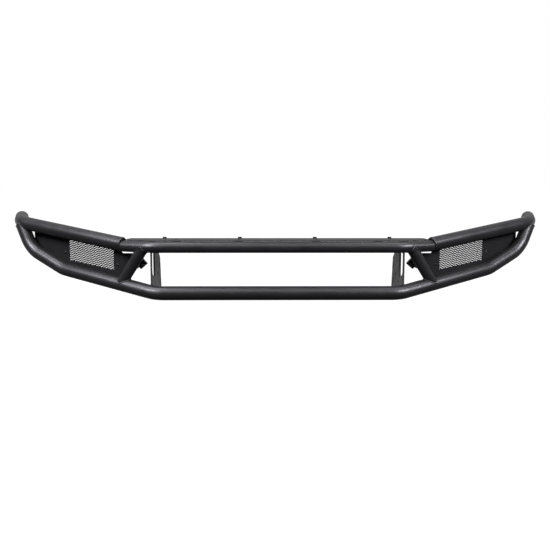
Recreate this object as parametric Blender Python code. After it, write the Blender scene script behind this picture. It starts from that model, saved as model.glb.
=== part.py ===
"""Tubular front guard for a full-size pickup: two bent tubes tied by braces and frame brackets,
swept wings with sheet-metal panels and expanded-metal screens, and a bolted valance plate.

Metres, +Z up, +X to the right seen from the front, +Y towards the truck.
Every piece is modelled around the guard's own datum, which lies on the lower tube's axis in the
middle of the truck, and hangs on one empty that brings the overall box to the world origin.
"""
import math

import bmesh
import bpy
from mathutils import Matrix, Vector
from mathutils.geometry import delaunay_2d_cdt

# ---------------------------------------------------------------- driving dimensions
GAP = 0.0003                    # clearance between pieces that touch
TUBE_SIDES = 16
BEND_STEPS = 4
SCREW_SIDES = 8
HEX = 6
SHARP_EDGE = math.radians(35)   # edges sharper than this stay sharp when shaded
INSIDE_OUTLINE = 1              # delaunay_2d_cdt: keep the triangles inside the outline
SAME_POINT = 1e-7

# tubes
MAIN_RADIUS = 0.0254            # 2 in tube: lower tube and wings
SECOND_RADIUS = 0.02065         # 1 5/8 in tube: top centre tube and braces
WALL = 0.003
BEND_RADIUS = 0.12              # centre-line radius of the tube bender's die
TIP_BEND_RADIUS = 0.085
SWEEP = math.radians(27)        # how far the wings sweep back, seen from above
BEND_X = 0.45                   # the top tube bends here, and the frame brackets stand here
LOWER_BEND_X = 0.437
TOP_TUBE_Z = 0.165              # top centre tube's axis above the lower tube's
SEAM_X = 0.565                  # where each wing tube meets the top centre tube
SEAM_Z = 0.172
TIP_X = 0.9925                  # corner of each wing tip's bend
TIP_Z = 0.2397
RETURN_OUT = 0.020              # from that corner to the open end of the tip
RETURN_BACK = 0.080
RETURN_UP = 0.015
KNEE_1_X = 0.808                # the two bends of the lower tube's outer run
KNEE_1_Z = 0.0685
KNEE_2_X = 0.948
KNEE_2_Z = 0.139
LOWER_END_X = 0.987
LOWER_END_Z = 0.232
BRACE_TOP_X = 0.478
BRACE_FOOT_X = 0.571
JOINT_PLATE = 0.003
CAP_EDGE = 0.003
CAP_RISE = 0.003
CAP_SPIGOT = 0.012

# frame brackets: (back, up) from the lower tube's axis
BRACKET_THICK = 0.006
BRACKET_OUTLINE = [(0, 0), (-0.004, 0.01), (-0.004, 0.165), (0, 0.180), (0.09, 0.180), (0.215, 0.11),
                   (0.238, 0), (0.238, -0.0254), (0.03, -0.0254)]
BRACKET_WINDOW = [(0.0065, 0.165), (0.0065, 0.078), (0.012, 0.066), (0.055, 0.050), (0.063, 0.051),
                  (0.068, 0.058), (0.068, 0.143), (0.060, 0.150), (0.010, 0.150), (0.010, 0.165)]
FRAME_SLOTS = [(0.200, 0.078), (0.200, 0.018)]
FRAME_SLOT_RADIUS = 0.008
FRAME_SLOT_LENGTH = 0.026
BRACKET_HOLES = [(0.155, 0.052, 0.006), (0.087, 0.030, 0.005)]      # back, up, radius

# valance plate: (outboard, back) from the middle of the top centre tube
VALANCE_THICK = 0.003
VALANCE_HALF = [(0.45, -0.001), (0.480, 0.013), (0.545, 0.0465), (0.549, 0.060), (0.542, 0.120)]
TAB_THICK = 0.003
TAB_HALF_WIDTH = 0.016
TAB_FRONT = 0.0125
TAB_REAR = 0.042
VALANCE_BOLTS = [(-0.414, 0.102), (-0.138, 0.102), (0.138, 0.102), (0.414, 0.102)]
VALANCE_SCREWS = [(-0.362, 0.028), (-0.139, 0.028), (0.139, 0.028), (0.362, 0.028)]

# wing panels and screens: (outboard, up) on the panel's swept middle surface
PANEL_THICK = 0.0025
PANEL_BACK = 0.030              # that surface behind the plane of the tube axes
FOLD_X = 0.567                  # upright fold where the panel turns square to the truck
PANEL_LOW_Z = 0.018
PANEL_TOP_Z = 0.1355
LIP_START = (0.725, 0.066)      # fold of the lower lip that turns forward to the lower tube
LIP_END = (0.9425, 0.160)
LIP_DROP = 0.012
LIP_INSET = 0.004
LIP_BACK = 0.012
PANEL_FACE = [(FOLD_X, PANEL_LOW_Z), (0.720, 0.042), LIP_START, LIP_END, (0.943, 0.2175),
              (0.585, 0.172), (0.572, 0.142), (FOLD_X, PANEL_TOP_Z)]
FACET_LOW = (0.562, 0.036)      # the inboard facet's edge runs up behind the brace
FACET_HIGH = (0.506, PANEL_TOP_Z)
EAR_LOW = (0.515, 0.0790)       # the ear that the side bolt goes through folds back along this line
EAR_HIGH = (0.4975, 0.1091)
EAR_DEPTH = 0.040
WINDOW = [(0.604, 0.0715), (0.790, 0.0995), (0.790, 0.176), (0.604, 0.146)]
SCREEN_THICK = 0.0015
SCREEN = [(0.579, 0.057), (0.775, 0.0885), (0.817, 0.107), (0.817, 0.192), (0.579, 0.157)]
MESH_LONG = 0.026               # expanded metal: long and short way of one diamond
MESH_SHORT = 0.008
MESH_STRAND = 0.0018
MESH_SCREWS = [(0.587, 0.140), (0.587, 0.092), (0.807, 0.174), (0.807, 0.129)]

# fasteners: shank radius, shank length, head radius or width across flats, head height
MESH_SCREW = (0.0025, 0.012, 0.0048, 0.0028)
MESH_NUT = (0.008, 0.004)                       # width across flats, height
VALANCE_SCREW = (0.003, 0.016, 0.0055, 0.0033)
VALANCE_SCREW_NUT = (0.010, 0.005)
VALANCE_BOLT = (0.004, 0.018, 0.013, 0.0055)
VALANCE_BOLT_NUT = (0.013, 0.0065)
SIDE_BOLT = (0.008, 0.032, 0.024, 0.010)
SIDE_BOLT_NUT = (0.024, 0.013)
SIDE_WASHER = (0.015, 0.003)                    # radius, thickness
SIDE_BOLT_UP_EAR = 0.0225       # the bolt's axis from the ear's low end, and behind the facet
SIDE_BOLT_BACK = 0.020

# ---------------------------------------------------------------- derived places
PLANE_SLOPE = math.tan(SWEEP)
WING_DIRECTION = Vector((TIP_X - SEAM_X, (TIP_X - SEAM_X) * PLANE_SLOPE, TIP_Z - SEAM_Z)).normalized()
RETURN_DIRECTION = Vector((RETURN_OUT, RETURN_BACK, RETURN_UP)).normalized()
WING_REARWARD = Vector((-math.sin(SWEEP), math.cos(SWEEP), 0))      # square to the right panel
TIP_END_Y = (TIP_X - BEND_X) * PLANE_SLOPE + RETURN_BACK
REAR_Y = TIP_END_Y + (GAP + CAP_EDGE) * RETURN_DIRECTION.y \
    + MAIN_RADIUS * math.sqrt(1 - RETURN_DIRECTION.y ** 2)
DATUM = Vector((0, (MAIN_RADIUS - REAR_Y) / 2, MAIN_RADIUS))


def on_wing(x, back, z):
    """A point on the upright plane through the wing's tube axes, or that far behind it."""
    return Vector((x, (x - BEND_X) * PLANE_SLOPE + back / math.cos(SWEEP), z))


def mirrored(points, side):
    return [Vector((side * p[0], p[1], p[2])) for p in points]


# ---------------------------------------------------------------- scene and materials
def clear_scene():
    for old in list(bpy.data.objects):
        bpy.data.objects.remove(old, do_unlink=True)


def make_material(name, colour, roughness, metallic):
    material = bpy.data.materials.new(name)
    material.use_nodes = True
    shader = material.node_tree.nodes["Principled BSDF"]
    shader.inputs["Base Color"].default_value = (*colour, 1)
    shader.inputs["Roughness"].default_value = roughness
    shader.inputs["Metallic"].default_value = metallic
    return material


def add_object(name, mesh_builder, material, hidden=False):
    """Turns a bmesh into an object that hangs on the guard's empty."""
    mesh = bpy.data.meshes.new(name)
    bmesh.ops.recalc_face_normals(mesh_builder, faces=mesh_builder.faces)
    mesh_builder.to_mesh(mesh)
    mesh_builder.free()
    obj = bpy.data.objects.new(name, mesh)
    bpy.context.scene.collection.objects.link(obj)
    obj.parent = GUARD
    if hidden:
        obj.hide_render = True
        obj.display_type = "WIRE"
    else:
        mesh.materials.append(material)
    return obj


def smooth(obj):
    obj.data.shade_smooth()
    obj.data.set_sharp_from_angle(angle=SHARP_EDGE)


def cut(obj, *cutters):
    for cutter in cutters:
        boolean = obj.modifiers.new("cut_" + cutter.name, "BOOLEAN")
        boolean.operation = "DIFFERENCE"
        boolean.solver = "EXACT"
        boolean.object = cutter


# ---------------------------------------------------------------- tubes
def bent_path(corners, radii):
    """Straight runs through the corners, with an arc of the given radius at each inner corner."""
    path = [corners[0]]
    for i, radius in enumerate(radii, start=1):
        before = (corners[i] - corners[i - 1]).normalized()
        after = (corners[i + 1] - corners[i]).normalized()
        angle = before.angle(after)
        start = corners[i] - before * radius * math.tan(angle / 2)
        inward = (after - before * before.dot(after)).normalized()
        centre = start + inward * radius
        for step in range(BEND_STEPS + 1):
            turn = angle * step / BEND_STEPS
            path.append(centre - inward * radius * math.cos(turn) + before * radius * math.sin(turn))
    path.append(corners[-1])
    return path


def tangents_of(path):
    runs = [(b - a).normalized() for a, b in zip(path, path[1:])]
    inner = [(a + b).normalized() for a, b in zip(runs, runs[1:])]
    return [runs[0]] + inner + [runs[-1]]


def ring(bm, centre, tangent, radius, plane_normal=None):
    """One round of vertices, square to the tangent or slid along it onto a plane through the centre."""
    side = tangent.cross(Vector((0, 0, 1))).normalized()
    up = side.cross(tangent)
    verts = []
    for i in range(TUBE_SIDES):
        turn = 2 * math.pi * i / TUBE_SIDES
        offset = radius * (side * math.cos(turn) + up * math.sin(turn))
        if plane_normal is not None:
            offset -= tangent * offset.dot(plane_normal) / tangent.dot(plane_normal)
        verts.append(bm.verts.new(centre + offset))
    return verts


def join_rings(bm, first, second):
    for i in range(len(first)):
        j = (i + 1) % len(first)
        bm.faces.new((first[i], first[j], second[j], second[i]))


def tube(path, radius, wall=None, end_planes=(None, None)):
    """A hollow tube with open ends along the path, or a solid rod where no wall is given."""
    bm = bmesh.new()
    tangents = tangents_of(path)
    planes = [end_planes[0]] + [None] * (len(path) - 2) + [end_planes[1]]
    stations = list(zip(path, tangents, planes))
    outer = [ring(bm, centre, tangent, radius, plane) for centre, tangent, plane in stations]
    for first, second in zip(outer, outer[1:]):
        join_rings(bm, first, second)
    if wall is None:
        bm.faces.new(outer[0])
        bm.faces.new(outer[-1])
        return bm
    inner = [ring(bm, centre, tangent, radius - wall, plane) for centre, tangent, plane in stations]
    for first, second in zip(inner, inner[1:]):
        join_rings(bm, first, second)
    join_rings(bm, outer[0], inner[0])
    join_rings(bm, outer[-1], inner[-1])
    return bm


def lower_tube_path():
    right = [Vector((LOWER_BEND_X, 0, 0)), on_wing(KNEE_1_X, 0, KNEE_1_Z),
             on_wing(KNEE_2_X, 0, KNEE_2_Z), on_wing(LOWER_END_X, 0, LOWER_END_Z)]
    left = mirrored(reversed(right), -1)
    return bent_path(left + right, [BEND_RADIUS] * 6)


def seam_centre(offset=0.0):
    """The middle of the wing tube's inboard end, moved outboard along the wing by the offset."""
    return on_wing(SEAM_X, 0, SEAM_Z) + WING_DIRECTION * offset


def centre_tube_path():
    """Ends on the joint plates' inboard faces, which stand square to the wing tubes."""
    plate_face = -JOINT_PLATE / 2 - GAP
    drop = SEAM_Z - TOP_TUBE_Z
    rise = WING_DIRECTION.z / math.hypot(WING_DIRECTION.x, WING_DIRECTION.y)
    end_x = seam_centre(plate_face).x + drop * rise * math.cos(SWEEP)
    right = [on_wing(BEND_X, 0, TOP_TUBE_Z), on_wing(end_x, 0, TOP_TUBE_Z)]
    left = mirrored(reversed(right), -1)
    return bent_path(left + right, [BEND_RADIUS] * 2)


def wing_tube_path(side):
    corner = on_wing(TIP_X, 0, TIP_Z)
    end = corner + Vector((RETURN_OUT, RETURN_BACK, RETURN_UP))
    corners = [seam_centre(JOINT_PLATE / 2 + GAP), corner, end]
    return bent_path(mirrored(corners, side), [TIP_BEND_RADIUS])


def brace_path(side):
    foot_z = (BRACE_FOOT_X - LOWER_BEND_X) / (KNEE_1_X - LOWER_BEND_X) * KNEE_1_Z
    ends = [on_wing(BRACE_TOP_X, 0, TOP_TUBE_Z), on_wing(BRACE_FOOT_X, 0, foot_z)]
    return mirrored(ends, side)


def build_tubes():
    """The main tubes, and one cutter around each that copes the pieces which meet it."""
    left_normal = mirrored([WING_DIRECTION], -1)[0]
    lower = add_object("lower_main_tube", tube(lower_tube_path(), MAIN_RADIUS, WALL), TUBE_BLACK)
    centre_mesh = tube(centre_tube_path(), SECOND_RADIUS, WALL, (left_normal, WING_DIRECTION))
    centre = add_object("top_centre_tube", centre_mesh, TUBE_BLACK)
    cutters = {
        "lower": add_object("cutter_lower", tube(lower_tube_path(), MAIN_RADIUS + GAP), None, True),
        "centre": add_object("cutter_centre", tube(centre_tube_path(), SECOND_RADIUS + GAP), None, True),
    }
    wings = []
    for side, word in SIDES:
        path = wing_tube_path(side)
        wings.append(add_object("wing_tube_" + word, tube(path, MAIN_RADIUS, WALL), TUBE_BLACK))
        cutters[word] = add_object("cutter_wing_" + word, tube(path, MAIN_RADIUS + GAP), None, True)
    cut(lower, cutters["left"], cutters["right"])
    for obj in [lower, centre] + wings:
        smooth(obj)
    return cutters


def build_braces(cutters):
    for side, word in SIDES:
        mesh = tube(brace_path(side), SECOND_RADIUS, WALL)
        brace = add_object("diagonal_brace_" + word, mesh, TUBE_BLACK)
        cut(brace, cutters["lower"], cutters["centre"])
        smooth(brace)


# ---------------------------------------------------------------- turned pieces
def turned(profile, matrix, sides):
    """Spins (radius, height) pairs about the matrix's Z axis; the first and last lie on the axis."""
    bm = bmesh.new()
    bottom = bm.verts.new(matrix @ Vector((0, 0, profile[0][1])))
    top = bm.verts.new(matrix @ Vector((0, 0, profile[-1][1])))
    turns = [2 * math.pi * (i + 0.5) / sides for i in range(sides)]
    rings = []
    for radius, height in profile[1:-1]:
        points = [Vector((radius * math.cos(t), radius * math.sin(t), height)) for t in turns]
        rings.append([bm.verts.new(matrix @ p) for p in points])
    for first, second in zip(rings, rings[1:]):
        join_rings(bm, first, second)
    for i in range(sides):
        j = (i + 1) % sides
        bm.faces.new((bottom, rings[0][i], rings[0][j]))
        bm.faces.new((top, rings[-1][i], rings[-1][j]))
    return bm


def facing(place, direction):
    """A frame at the place whose Z axis points along the direction."""
    return Matrix.Translation(place) @ direction.to_track_quat("Z", "Y").to_matrix().to_4x4()


def hex_radius(across_flats):
    return across_flats / math.sqrt(3)


def hex_bolt(matrix, size):
    """Head above the matrix's XY plane, shank below it; both are six-sided, corner to corner."""
    shank_radius, shank, across_flats, head = size
    corner = hex_radius(across_flats)
    profile = [(0, -shank), (shank_radius, -shank), (shank_radius, 0), (corner, 0),
               (corner, head), (0, head)]
    return turned(profile, matrix, HEX)


def button_screw(matrix, size):
    shank_radius, shank, head_radius, head = size
    profile = [(0, -shank), (shank_radius, -shank), (shank_radius, 0), (head_radius, 0),
               (head_radius * 0.86, head * 0.6), (head_radius * 0.5, head), (0, head)]
    return turned(profile, matrix, SCREW_SIDES)


def collar(matrix, outer, inner, thick, sides):
    """A nut or washer: a prism with a hole, from the matrix's XY plane up to its thickness."""
    bm = bmesh.new()
    corner = inner / math.cos(math.pi / sides)
    turns = [2 * math.pi * (i + 0.5) / sides for i in range(sides)]
    rounds = []
    for radius, height in ((outer, 0), (outer, thick), (corner, thick), (corner, 0)):
        points = [Vector((radius * math.cos(t), radius * math.sin(t), height)) for t in turns]
        rounds.append([bm.verts.new(matrix @ p) for p in points])
    for first, second in zip(rounds, rounds[1:] + rounds[:1]):
        join_rings(bm, first, second)
    return bm


def hex_nut(matrix, size, shank_radius):
    across_flats, height = size
    return collar(matrix, hex_radius(across_flats), shank_radius + GAP, height, HEX)


def build_joint_plates():
    """A disc between each wing tube and the top centre tube, welded to both."""
    half = JOINT_PLATE / 2
    profile = [(0, -half), (MAIN_RADIUS, -half), (MAIN_RADIUS, half), (0, half)]
    for side, word in SIDES:
        centre = mirrored([seam_centre()], side)[0]
        direction = mirrored([WING_DIRECTION], side)[0]
        disc = turned(profile, facing(centre, direction), TUBE_SIDES)
        smooth(add_object("joint_plate_" + word, disc, TUBE_BLACK))


def build_tube_caps():
    """A domed cap on the open end of each wing tip, with a spigot inside the tube."""
    spigot = (MAIN_RADIUS - WALL) * math.cos(math.pi / TUBE_SIDES) - GAP
    rim = GAP + CAP_EDGE
    profile = [(0, -CAP_SPIGOT), (spigot, -CAP_SPIGOT), (spigot, GAP), (MAIN_RADIUS, GAP),
               (MAIN_RADIUS, rim), (MAIN_RADIUS * 0.8, rim + CAP_RISE * 0.6),
               (MAIN_RADIUS * 0.4, rim + CAP_RISE), (0, rim + CAP_RISE)]
    for side, word in SIDES:
        end = wing_tube_path(side)[-1]
        direction = mirrored([RETURN_DIRECTION], side)[0]
        cap = turned(profile, facing(end, direction), TUBE_SIDES)
        smooth(add_object("tube_cap_" + word, cap, TUBE_BLACK))


# ---------------------------------------------------------------- flat plates
def round_hole(x, y, radius, sides=10):
    turns = [2 * math.pi * i / sides for i in range(sides)]
    return [(x + radius * math.cos(t), y + radius * math.sin(t)) for t in turns]


def clear_hole(x, y, shank_radius):
    return round_hole(x, y, shank_radius + GAP * 2)


def upright_slot(x, y, radius, length, steps=5):
    """A slot with round ends, its long way along y."""
    reach = length / 2 - radius
    points = []
    for start, middle in ((0, y + reach), (math.pi, y - reach)):
        for i in range(steps + 1):
            turn = start + math.pi * i / steps
            points.append((x + radius * math.cos(turn), middle + radius * math.sin(turn)))
    return points


def flat_faces(bm, outline, holes, place):
    """Fills an outline, leaves its convex holes open and returns the rounds of vertices it made."""
    loops = [outline] + holes
    rounds = [[bm.verts.new(place(*point)) for point in loop] for loop in loops]
    verts = [v for loop in rounds for v in loop]
    flat = [Vector(point) for loop in loops for point in loop]
    edges = []
    owners = []
    for number, loop in enumerate(loops):
        first = len(edges)
        edges += [(first + i, first + (i + 1) % len(loop)) for i in range(len(loop))]
        owners += [number] * len(loop)
    filled = delaunay_2d_cdt(flat, edges, [], INSIDE_OUTLINE, SAME_POINT)
    triangles, sources = filled[2], filled[3]
    for triangle in triangles:
        corners = [sources[i][0] for i in triangle]
        touched = {owners[c] for c in corners}
        if 0 in touched or len(touched) > 1:
            bm.faces.new([verts[c] for c in corners])
    return rounds


def plate(outline, holes, place):
    """A plate of even thickness: place(a, b, face) gives the point on its face 0 or face 1."""
    bm = bmesh.new()
    near = flat_faces(bm, outline, holes, lambda a, b: place(a, b, 0))
    far = flat_faces(bm, outline, holes, lambda a, b: place(a, b, 1))
    for first, second in zip(near, far):
        join_rings(bm, first, second)
    return bm


def build_frame_brackets(cutters):
    """Upright plates that tie both cross tubes together and bolt to the sides of the frame."""
    holes = [upright_slot(y, z, FRAME_SLOT_RADIUS, FRAME_SLOT_LENGTH) for y, z in FRAME_SLOTS]
    holes += [round_hole(*hole) for hole in BRACKET_HOLES]
    for side, word in SIDES:
        def place(y, z, face):
            return Vector((side * (BEND_X + (face - 0.5) * BRACKET_THICK), y, z))

        def place_through(y, z, face):
            return Vector((side * (BEND_X + (face - 0.5) * BRACKET_THICK * 3), y, z))

        bracket = add_object("frame_bracket_" + word, plate(BRACKET_OUTLINE, holes, place), BRACKET_BLACK)
        opening = add_object("cutter_bracket_" + word, plate(BRACKET_WINDOW, [], place_through), None, True)
        cut(bracket, opening, cutters["lower"], cutters["centre"])


def build_valance():
    """The plate that covers the gap above the top centre tube, its tabs and its fasteners."""
    underside = TOP_TUBE_Z + SECOND_RADIUS + GAP
    top = underside + VALANCE_THICK + GAP
    tab_top = underside - GAP
    up = Vector((0, 0, 1))
    outline = VALANCE_HALF + [(-x, y) for x, y in reversed(VALANCE_HALF)]
    holes = [clear_hole(x, y, VALANCE_BOLT[0]) for x, y in VALANCE_BOLTS]
    holes += [clear_hole(x, y, VALANCE_SCREW[0]) for x, y in VALANCE_SCREWS]
    valance = plate(outline, holes, lambda a, b, face: Vector((a, b, underside + face * VALANCE_THICK)))
    add_object("valance_plate", valance, BRACKET_BLACK)

    for i, (x, y) in enumerate(VALANCE_SCREWS, start=1):
        low_x = x - TAB_HALF_WIDTH
        high_x = x + TAB_HALF_WIDTH
        corners = [(low_x, TAB_FRONT), (high_x, TAB_FRONT), (high_x, TAB_REAR), (low_x, TAB_REAR)]
        tab = plate(corners, [clear_hole(x, y, VALANCE_SCREW[0])],
                    lambda a, b, face: Vector((a, b, tab_top - face * TAB_THICK)))
        add_object(f"valance_tab_{i}", tab, BRACKET_BLACK)
        screw = button_screw(facing(Vector((x, y, top)), up), VALANCE_SCREW)
        add_object(f"valance_screw_{i}", screw, FASTENER_BLACK)
        below = facing(Vector((x, y, tab_top - TAB_THICK - GAP)), -up)
        nut = hex_nut(below, VALANCE_SCREW_NUT, VALANCE_SCREW[0])
        add_object(f"valance_screw_nut_{i}", nut, FASTENER_BLACK)
    for i, (x, y) in enumerate(VALANCE_BOLTS, start=1):
        bolt = hex_bolt(facing(Vector((x, y, top)), up), VALANCE_BOLT)
        add_object(f"valance_bolt_{i}", bolt, FASTENER_BLACK)
        below = facing(Vector((x, y, underside - GAP)), -up)
        nut = hex_nut(below, VALANCE_BOLT_NUT, VALANCE_BOLT[0])
        add_object(f"valance_bolt_nut_{i}", nut, FASTENER_BLACK)


# ---------------------------------------------------------------- wing panels and screens
def screw_holes():
    return [clear_hole(x, z, MESH_SCREW[0]) for x, z in MESH_SCREWS]


def side_bolt_axis():
    """Where the right side bolt crosses the middle of its ear, and the way it points inboard."""
    low = Vector((EAR_LOW[0], 0, EAR_LOW[1]))
    along = (Vector((EAR_HIGH[0], 0, EAR_HIGH[1])) - low).normalized()
    place = low + along * SIDE_BOLT_UP_EAR
    place.y = on_wing(FOLD_X, PANEL_BACK, 0).y + SIDE_BOLT_BACK
    return place, Vector((-along.z, 0, along.x))


def build_wing_panels(cutters):
    """Folded sheet: swept face with a window, lower lip, flat inboard facet and the bolt's ear."""
    flat_y = on_wing(FOLD_X, PANEL_BACK, 0).y
    bolt_place, bolt_inward = side_bolt_axis()
    drill_radius = SIDE_BOLT[0] + GAP * 2
    drill_profile = [(0, -0.01), (drill_radius, -0.01), (drill_radius, 0.01), (0, 0.01)]
    slope = (FACET_HIGH[0] - FACET_LOW[0]) / (FACET_HIGH[1] - FACET_LOW[1])
    lip_front = [(LIP_START[0] + LIP_INSET, LIP_START[1] - LIP_DROP),
                 (LIP_END[0] - LIP_INSET, LIP_END[1] - LIP_DROP)]
    for side, word in SIDES:
        def facet_vertex(x, z, back=0):
            return bm.verts.new((side * x, flat_y + back, z))

        bm = bmesh.new()
        rounds = flat_faces(bm, PANEL_FACE, [WINDOW] + screw_holes(),
                            lambda x, z: mirrored([on_wing(x, PANEL_BACK, z)], side)[0])
        low_fold, lip_start, lip_end, top_fold = (rounds[0][i] for i in (0, 2, 3, 7))
        ear = [facet_vertex(*EAR_LOW), facet_vertex(*EAR_HIGH)]
        ear_root = [facet_vertex(FACET_LOW[0] + (z - FACET_LOW[1]) * slope, z)
                    for z in (EAR_LOW[1], EAR_HIGH[1])]
        bm.faces.new((low_fold, facet_vertex(*FACET_LOW), ear_root[0], ear[0], ear[1], ear_root[1],
                      facet_vertex(*FACET_HIGH), top_fold))
        ear_rear = [facet_vertex(*EAR_LOW, EAR_DEPTH), facet_vertex(*EAR_HIGH, EAR_DEPTH)]
        bm.faces.new((ear[1], ear[0], ear_rear[0], ear_rear[1]))
        lip = [bm.verts.new(mirrored([on_wing(x, LIP_BACK, z)], side)[0]) for x, z in lip_front]
        bm.faces.new((lip_start, lip_end, lip[1], lip[0]))
        panel = add_object("wing_panel_" + word, bm, PANEL_BLACK)
        solid = panel.modifiers.new("thickness", "SOLIDIFY")
        solid.thickness = PANEL_THICK
        solid.offset = 0
        solid.use_even_offset = True
        drill_place = facing(*mirrored([bolt_place, bolt_inward], side))
        drill = add_object("cutter_drill_" + word, turned(drill_profile, drill_place, 12), None, True)
        cut(panel, cutters["lower"], cutters[word], drill)


def mesh_holes():
    """Diamonds of the expanded metal, in rows that step half a diamond, wherever the window shows."""
    shrink = 1 - MESH_STRAND * math.hypot(MESH_LONG, MESH_SHORT) / (MESH_LONG * MESH_SHORT)
    half_x = MESH_LONG / 2 * shrink * math.cos(SWEEP)
    half_z = MESH_SHORT / 2 * shrink
    step_x = MESH_LONG * math.cos(SWEEP)
    step_z = MESH_SHORT / 2
    (low_x, low_z), (high_x, outer_z) = WINDOW[:2]
    slope = (outer_z - low_z) / (high_x - low_x)
    height = WINDOW[3][1] - low_z
    diamonds = []
    for row in range(round((WINDOW[2][1] - low_z) / step_z) + 2):
        z = low_z + (row - 1) * step_z
        for column in range(int((high_x - low_x) / step_x) + 1):
            x = low_x + (column + row % 2 / 2) * step_x
            floor = low_z + (x - low_x) * slope
            if x <= high_x and floor <= z <= floor + height:
                diamonds.append([(x - half_x, z), (x, z - half_z), (x + half_x, z), (x, z + half_z)])
    return diamonds


def build_screens():
    """Expanded metal behind each window, held by four screws with nuts."""
    seat = PANEL_THICK / 2 + GAP
    holes = mesh_holes() + screw_holes()
    for side, word in SIDES:
        def place(x, z, face):
            point = on_wing(x, PANEL_BACK, z) + WING_REARWARD * (seat + face * SCREEN_THICK)
            return mirrored([point], side)[0]

        add_object("mesh_screen_" + word, plate(SCREEN, holes, place), MESH_BLACK)
        rearward = mirrored([WING_REARWARD], side)[0]
        for i, (x, z) in enumerate(MESH_SCREWS, start=1):
            middle = mirrored([on_wing(x, PANEL_BACK, z)], side)[0]
            screw = button_screw(facing(middle - rearward * seat, -rearward), MESH_SCREW)
            add_object(f"mesh_screw_{word}_{i}", screw, FASTENER_BLACK)
            rear = facing(middle + rearward * (seat + SCREEN_THICK + GAP), rearward)
            add_object(f"mesh_nut_{word}_{i}", hex_nut(rear, MESH_NUT, MESH_SCREW[0]), FASTENER_BLACK)


def build_side_bolts():
    """A heavy bolt through each panel's ear, its head inboard."""
    sheet = PANEL_THICK / 2 + GAP
    washer_radius, washer_thick = SIDE_WASHER
    for side, word in SIDES:
        middle, inward = mirrored(side_bolt_axis(), side)
        seat = facing(middle + inward * (sheet + washer_thick + GAP), inward)
        add_object("side_bolt_" + word, hex_bolt(seat, SIDE_BOLT), FASTENER_BLACK)
        washer = collar(facing(middle + inward * sheet, inward), washer_radius, SIDE_BOLT[0] + GAP,
                        washer_thick, TUBE_SIDES)
        add_object("side_bolt_washer_" + word, washer, FASTENER_BLACK)
        nut = hex_nut(facing(middle - inward * sheet, -inward), SIDE_BOLT_NUT, SIDE_BOLT[0])
        add_object("side_bolt_nut_" + word, nut, FASTENER_BLACK)


# ---------------------------------------------------------------- the guard
clear_scene()
SIDES = ((-1, "left"), (1, "right"))
TUBE_BLACK = make_material("tube_powder_coat", (0.020, 0.020, 0.022), 0.42, 0.0)
BRACKET_BLACK = make_material("plate_powder_coat", (0.018, 0.018, 0.019), 0.38, 0.0)
PANEL_BLACK = make_material("panel_powder_coat", (0.016, 0.016, 0.018), 0.48, 0.0)
MESH_BLACK = make_material("mesh_powder_coat", (0.015, 0.015, 0.016), 0.50, 0.0)
FASTENER_BLACK = make_material("black_zinc", (0.012, 0.012, 0.012), 0.35, 0.6)

GUARD = bpy.data.objects.new("front_guard", None)
bpy.context.scene.collection.objects.link(GUARD)
GUARD.location = DATUM

TUBE_CUTTERS = build_tubes()
build_braces(TUBE_CUTTERS)
build_joint_plates()
build_tube_caps()
build_frame_brackets(TUBE_CUTTERS)
build_valance()
build_wing_panels(TUBE_CUTTERS)
build_screens()
build_side_bolts()
bpy.context.view_layer.update()
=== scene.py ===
"""Looks for the tubular front guard: fine tubes with weld beads, bevelled plates, expanded-metal
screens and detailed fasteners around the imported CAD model, in a pale studio.

Metres, in the CAD model's own frame: +Z up, +X to the right seen from the front, +Y towards the
truck. Shapes are worked out around the guard's datum, which lies on the lower tube's axis.
"""
import math

import bmesh
import bpy
from mathutils import Matrix, Vector
from mathutils.geometry import delaunay_2d_cdt


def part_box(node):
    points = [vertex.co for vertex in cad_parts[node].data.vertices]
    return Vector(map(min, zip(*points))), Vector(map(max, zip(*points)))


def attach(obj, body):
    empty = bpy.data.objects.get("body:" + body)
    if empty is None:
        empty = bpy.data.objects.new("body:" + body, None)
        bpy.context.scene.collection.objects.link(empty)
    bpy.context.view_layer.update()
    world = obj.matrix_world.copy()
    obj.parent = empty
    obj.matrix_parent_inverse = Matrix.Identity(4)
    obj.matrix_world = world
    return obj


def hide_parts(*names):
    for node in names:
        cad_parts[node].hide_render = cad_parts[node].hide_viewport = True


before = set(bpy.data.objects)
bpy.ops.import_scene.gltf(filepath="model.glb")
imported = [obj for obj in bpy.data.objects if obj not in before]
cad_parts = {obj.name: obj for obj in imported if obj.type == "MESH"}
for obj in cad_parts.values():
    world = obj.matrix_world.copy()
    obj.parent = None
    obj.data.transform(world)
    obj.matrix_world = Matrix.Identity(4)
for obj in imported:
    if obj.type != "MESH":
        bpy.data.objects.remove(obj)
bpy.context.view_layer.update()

# ---------------------------------------------------------------- driving dimensions of the guard
MAIN_RADIUS = 0.0254            # lower tube and wing tubes
SECOND_RADIUS = 0.02065         # top centre tube and braces
BEND_RADIUS = 0.12
TIP_BEND_RADIUS = 0.085
SWEEP = math.radians(27)
BEND_X = 0.45
LOWER_BEND_X = 0.437
TOP_TUBE_Z = 0.165
SEAM = (0.565, 0.172)           # outboard, up
TIP = (0.9925, 0.2397)
TIP_RETURN = Vector((0.020, 0.080, 0.015))
KNEE_1 = (0.808, 0.0685)
KNEE_2 = (0.948, 0.139)
LOWER_END = (0.987, 0.232)
BRACE_TOP_X = 0.478
BRACE_FOOT_X = 0.571
JOINT_PLATE = 0.003
JOINT_RIM = 0.0006              # the joint disc stands out this far from the wing tube
CAP_RISE = 0.006                # tip caps: heights from the tube's end
CAP_EDGE = 0.003                # where the dome starts
CAP_LIP = 0.0002                # where the plug meets the lip
CAP_PLUG = -0.012               # where the plug ends
CAP_WALL = 0.004                # the plug is this much smaller than the tube in radius

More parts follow.
